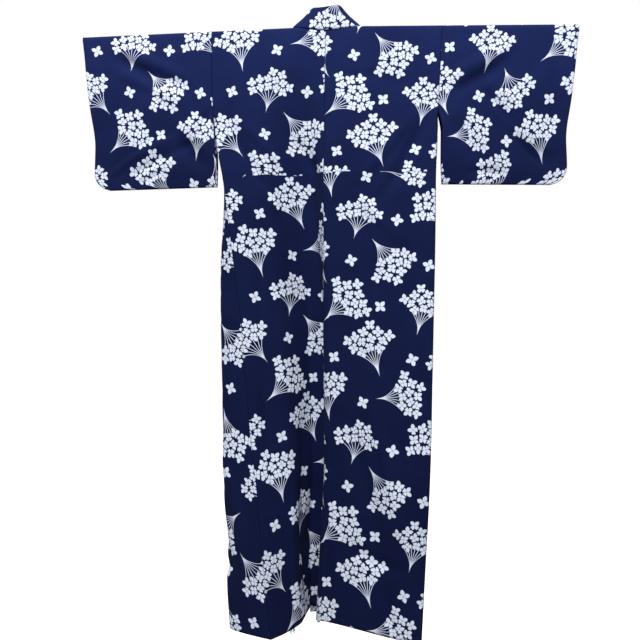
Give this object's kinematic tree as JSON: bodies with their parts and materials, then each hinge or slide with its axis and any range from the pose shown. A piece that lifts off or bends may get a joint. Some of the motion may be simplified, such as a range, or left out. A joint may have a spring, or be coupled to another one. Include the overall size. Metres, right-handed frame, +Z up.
{
  "type": "cotton yukata robe on a kimono hanger",
  "caption": "Long cotton yukata robe with wide square sleeves, hanging open-fronted from a straight-rod hanger, with a deep fold down the centre back.",
  "frame": {"origin": "where the hanger's hook bears on a rail, at the top of the inside of the hook", "axes": "+Z up, +Y toward the robe's fronts, so the back faces -Y; +X toward the wearer's right sleeve"},
  "size_m": [1.34, 0.221, 1.7812],
  "materials": {
    "cotton": "matt woven cotton, navy dyed, with white flower sprays",
    "hanger": "off-white, satin",
    "steel": "polished wire"
  },
  "bodies": {
    "root": {"back_left": "cotton", "back_right": "cotton", "front_left": "cotton", "front_right": "cotton", "overlap_left": "cotton", "overlap_right": "cotton", "sleeve_left": "cotton", "sleeve_right": "cotton", "collar": "cotton", "collar_cover": "cotton", "hanger_arm_left": "hanger", "hanger_arm_right": "hanger", "hanger_hub": "hanger", "hanger_post": "hanger", "hanger_hook": "steel"}
  },
  "joints": []
}
